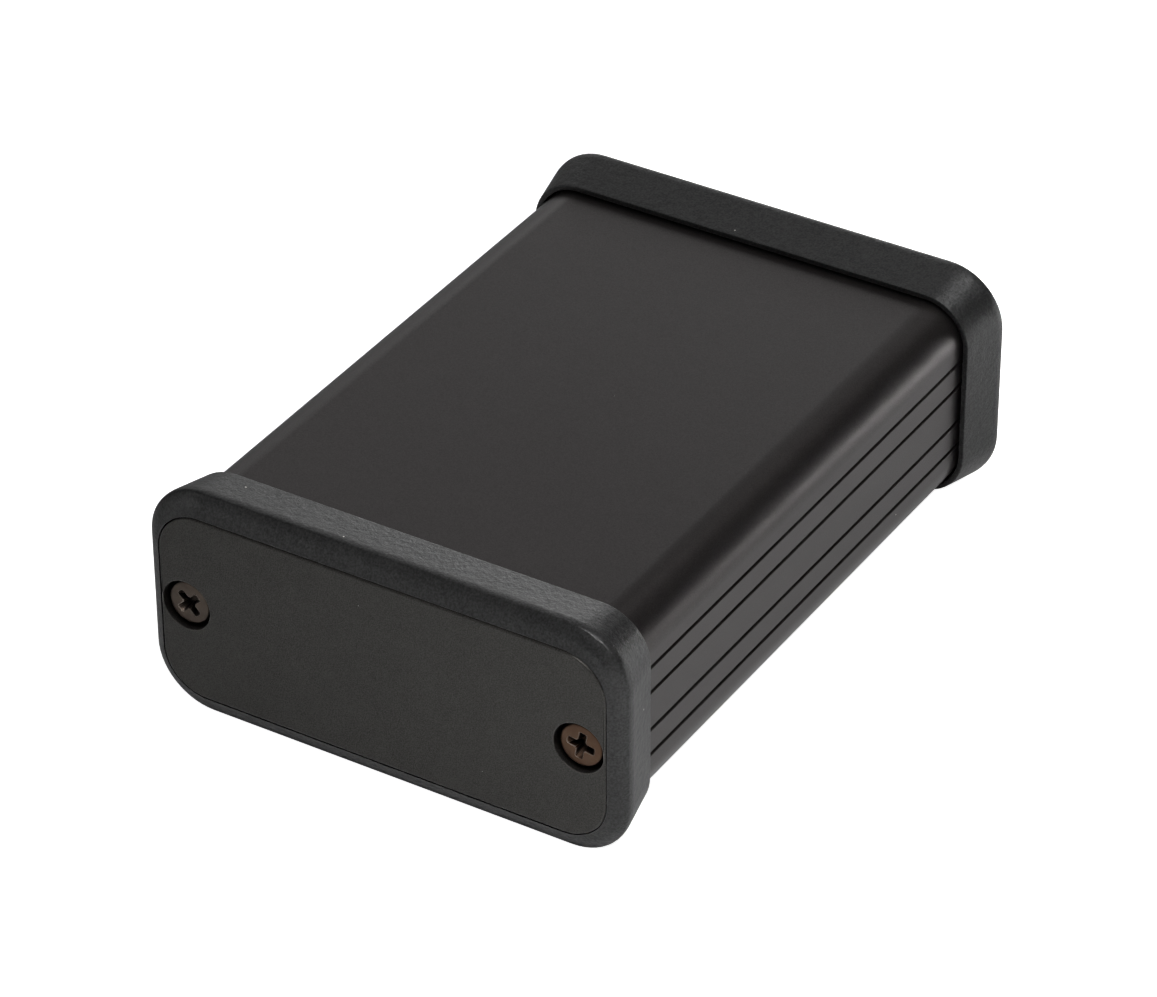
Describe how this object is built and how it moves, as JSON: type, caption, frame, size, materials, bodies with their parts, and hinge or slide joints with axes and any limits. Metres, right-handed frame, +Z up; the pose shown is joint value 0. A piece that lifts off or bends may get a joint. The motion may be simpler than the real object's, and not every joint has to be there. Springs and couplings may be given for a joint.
{
  "type": "logic analyzer",
  "caption": "Pocket logic analyzer: grooved black extruded case, moulded bezels, screwed end panels, circuit board with USB socket and probe header.",
  "frame": {"origin": "on the resting surface, under the middle of the case", "axes": "+Y along the extruded case towards its connector end, +X across it, +Z up; the blank end faces -Y"},
  "size_m": [0.0582, 0.0832, 0.0278],
  "materials": {
    "anodised_black": "satin black anodised, fine grain",
    "moulded_black": "fine spark-eroded texture, matt black",
    "panel_black": "fine spark-eroded texture, matt black",
    "bronzed_steel": "bronze-black plated, satin",
    "board_green": "green solder mask, semi-gloss",
    "tinned_steel": "bright tinned sheet",
    "socket_white": "off-white moulded, satin",
    "shroud_black": "black moulded, satin",
    "pin_gold": "gold flashed",
    "chip_black": "moulding compound, fine matt",
    "can_aluminium": "drawn can, bright satin",
    "ferrite_grey": "pressed ferrite, dull",
    "capacitor_yellow": "moulded amber yellow, satin",
    "lens_green": "tinted clear lens",
    "lens_amber": "tinted clear lens"
  },
  "bodies": {
    "case": {"case_extrusion": "anodised_black"},
    "front_bezel": {"front_bezel": "moulded_black"},
    "front_panel": {"front_panel": "panel_black"},
    "front_screw_left": {"front_screw_left": "bronzed_steel"},
    "front_screw_right": {"front_screw_right": "bronzed_steel"},
    "board": {"circuit_board": "board_green", "probe_header_shroud": "shroud_black", "usb_socket_shell": "tinned_steel", "usb_socket_insulator": "socket_white", "status_light_holder": "shroud_black", "status_light_activity": "lens_amber", "status_light_power": "lens_green", "logic_array_chip": "chip_black", "memory_chip": "chip_black", "usb_controller_chip": "chip_black", "input_buffer_left": "chip_black", "input_buffer_right": "chip_black", "settings_memory_chip": "chip_black", "voltage_regulator_io": "chip_black", "voltage_regulator_core": "chip_black", "clock_oscillator": "can_aluminium", "resettable_fuse": "chip_black", "tantalum_capacitor_left": "capacitor_yellow", "tantalum_capacitor_right": "capacitor_yellow", "resistor_array_1": "chip_black", "resistor_array_2": "chip_black", "resistor_array_3": "chip_black", "crystal_can": "can_aluminium", "power_inductor": "ferrite_grey", "bulk_capacitor_left": "can_aluminium", "bulk_capacitor_right": "can_aluminium", "header_pin_01": "pin_gold", "header_pin_02": "pin_gold", "header_pin_03": "pin_gold", "header_pin_04": "pin_gold", "header_pin_05": "pin_gold", "header_pin_06": "pin_gold", "header_pin_07": "pin_gold", "header_pin_08": "pin_gold", "header_pin_09": "pin_gold", "header_pin_10": "pin_gold"},
    "rear_bezel": {"rear_bezel": "moulded_black"},
    "rear_panel": {"rear_panel": "panel_black"},
    "rear_screw_left": {"rear_screw_left": "bronzed_steel"},
    "rear_screw_right": {"rear_screw_right": "bronzed_steel"}
  },
  "joints": [
    {"name": "front_bezel_slide", "type": "slide", "parent": "case", "child": "front_bezel", "axis": [0, -1, 0], "range_m": [0, 0.02]},
    {"name": "front_panel_slide", "type": "slide", "parent": "front_bezel", "child": "front_panel", "axis": [0, -1, 0], "range_m": [0, 0.015]},
    {"name": "front_screw_left_slide", "type": "slide", "parent": "front_panel", "child": "front_screw_left", "axis": [0, -1, 0], "range_m": [0, 0.014]},
    {"name": "front_screw_right_slide", "type": "slide", "parent": "front_panel", "child": "front_screw_right", "axis": [0, -1, 0], "range_m": [0, 0.014]},
    {"name": "board_slide", "type": "slide", "parent": "case", "child": "board", "axis": [0, 1, 0], "range_m": [0, 0.06]},
    {"name": "rear_bezel_slide", "type": "slide", "parent": "case", "child": "rear_bezel", "axis": [0, 1, 0], "range_m": [0, 0.06]},
    {"name": "rear_panel_slide", "type": "slide", "parent": "rear_bezel", "child": "rear_panel", "axis": [0, 1, 0], "range_m": [0, 0.015]},
    {"name": "rear_screw_left_slide", "type": "slide", "parent": "rear_panel", "child": "rear_screw_left", "axis": [0, 1, 0], "range_m": [0, 0.014]},
    {"name": "rear_screw_right_slide", "type": "slide", "parent": "rear_panel", "child": "rear_screw_right", "axis": [0, 1, 0], "range_m": [0, 0.014]}
  ],
  "couplings": [
    {"joint": "rear_bezel_slide", "follows": "board_slide", "ratio": 1}
  ]
}
